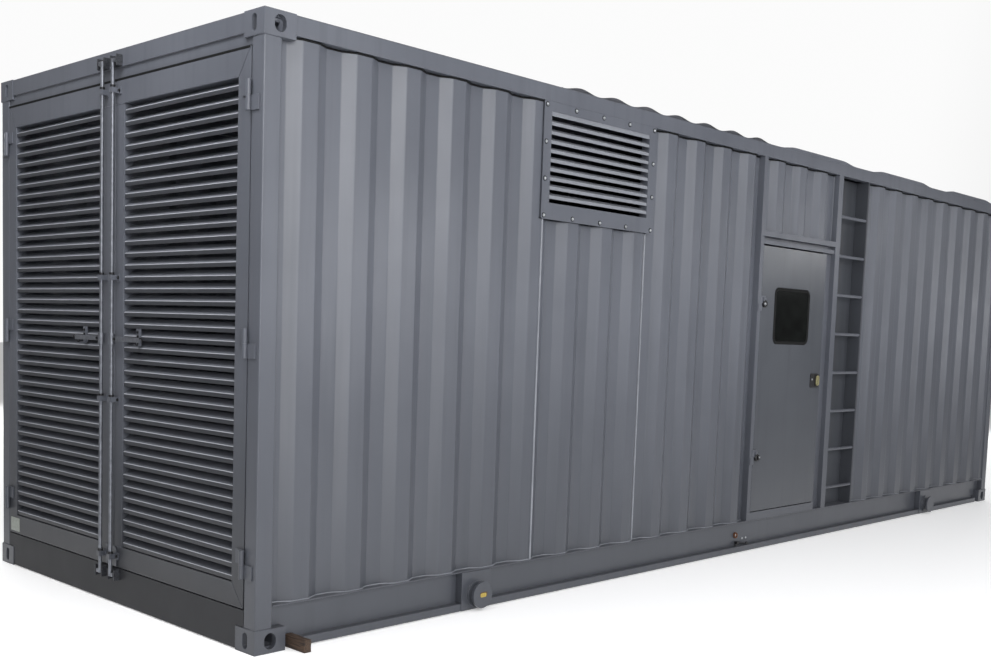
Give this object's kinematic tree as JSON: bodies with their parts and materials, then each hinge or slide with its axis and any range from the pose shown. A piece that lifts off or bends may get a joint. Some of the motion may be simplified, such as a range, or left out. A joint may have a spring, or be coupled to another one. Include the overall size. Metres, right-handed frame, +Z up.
{
  "type": "containerised generator enclosure",
  "caption": "Container-type steel enclosure for a diesel generator set, with louvred end doors, side vent, service door and recessed ladder.",
  "frame": {"origin": "middle of the four bottom corner castings' apertures, on the plane the castings stand on", "axes": "+X along the length from the louvred end, +Y across towards the hidden long side, +Z up"},
  "size_m": [9.043, 2.964, 3.019],
  "materials": {
    "grey_paint": "semi-gloss blue-grey paint over folded and welded steel",
    "underside_paint": "matt dark grey chassis paint",
    "rusty_steel": "surface rust",
    "old_timber": "sawn, weathered and oil-stained",
    "bare_plate": "dull plain plate",
    "black_rubber": "matt extruded seal",
    "dark_glass": "tinted, polished",
    "black_plastic": "moulded, fine grain"
  },
  "bodies": {
    "root": {"corner_castings": "grey_paint", "corner_posts": "grey_paint", "bottom_side_rails": "grey_paint", "top_side_rails": "grey_paint", "end_headers": "grey_paint", "end_sills": "grey_paint", "cross_members": "underside_paint", "floor": "underside_paint", "roof_front": "grey_paint", "roof_middle": "grey_paint", "roof_rear": "grey_paint", "wall_front": "grey_paint", "wall_under_vent": "grey_paint", "wall_middle": "grey_paint", "wall_over_door": "grey_paint", "wall_rear": "grey_paint", "hidden_side_wall": "grey_paint", "hidden_end_wall": "grey_paint", "vent_frame": "grey_paint", "vent_blades": "grey_paint", "service_door_frame": "grey_paint", "ladder_bay": "grey_paint", "ladder_rungs": "grey_paint", "lifting_lugs": "grey_paint", "drain_fittings": "rusty_steel", "packing_block": "old_timber", "lock_bar_keepers": "grey_paint", "post_hinges": "grey_paint", "door_frame_hinges": "grey_paint"},
    "left_leaf": {"left_leaf_frame": "grey_paint", "left_leaf_blades": "grey_paint", "left_leaf_hinges": "grey_paint", "left_bar_guides": "grey_paint", "bare_plate": "bare_plate"},
    "left_bar": {"left_lock_bar": "grey_paint"},
    "right_leaf": {"right_leaf_frame": "grey_paint", "right_leaf_blades": "grey_paint", "right_leaf_hinges": "grey_paint", "right_bar_guides": "grey_paint"},
    "right_bar": {"right_lock_bar": "grey_paint"},
    "service_door": {"service_door": "grey_paint", "window_gasket": "black_rubber", "window_glass": "dark_glass", "door_lock": "black_plastic", "door_hinges": "grey_paint"}
  },
  "joints": [
    {"name": "left_leaf_swing", "type": "hinge", "parent": "root", "child": "left_leaf", "pos_m": [-4.511, 1.297, 1.5], "axis": [0, 0, 1], "range_deg": [-160, 0]},
    {"name": "right_leaf_swing", "type": "hinge", "parent": "root", "child": "right_leaf", "pos_m": [-4.511, -1.297, 1.5], "axis": [0, 0, 1], "range_deg": [0, 160]},
    {"name": "left_bar_turn", "type": "hinge", "parent": "left_leaf", "child": "left_bar", "pos_m": [-4.526, 0.057, 1.5], "axis": [0, 0, 1], "range_deg": [0, 100]},
    {"name": "right_bar_turn", "type": "hinge", "parent": "right_leaf", "child": "right_bar", "pos_m": [-4.526, -0.057, 1.5], "axis": [0, 0, 1], "range_deg": [-100, 0]},
    {"name": "service_door_swing", "type": "hinge", "parent": "root", "child": "service_door", "pos_m": [-0.108, -1.394, 1.3], "axis": [0, 0, 1], "range_deg": [-110, 0]}
  ]
}
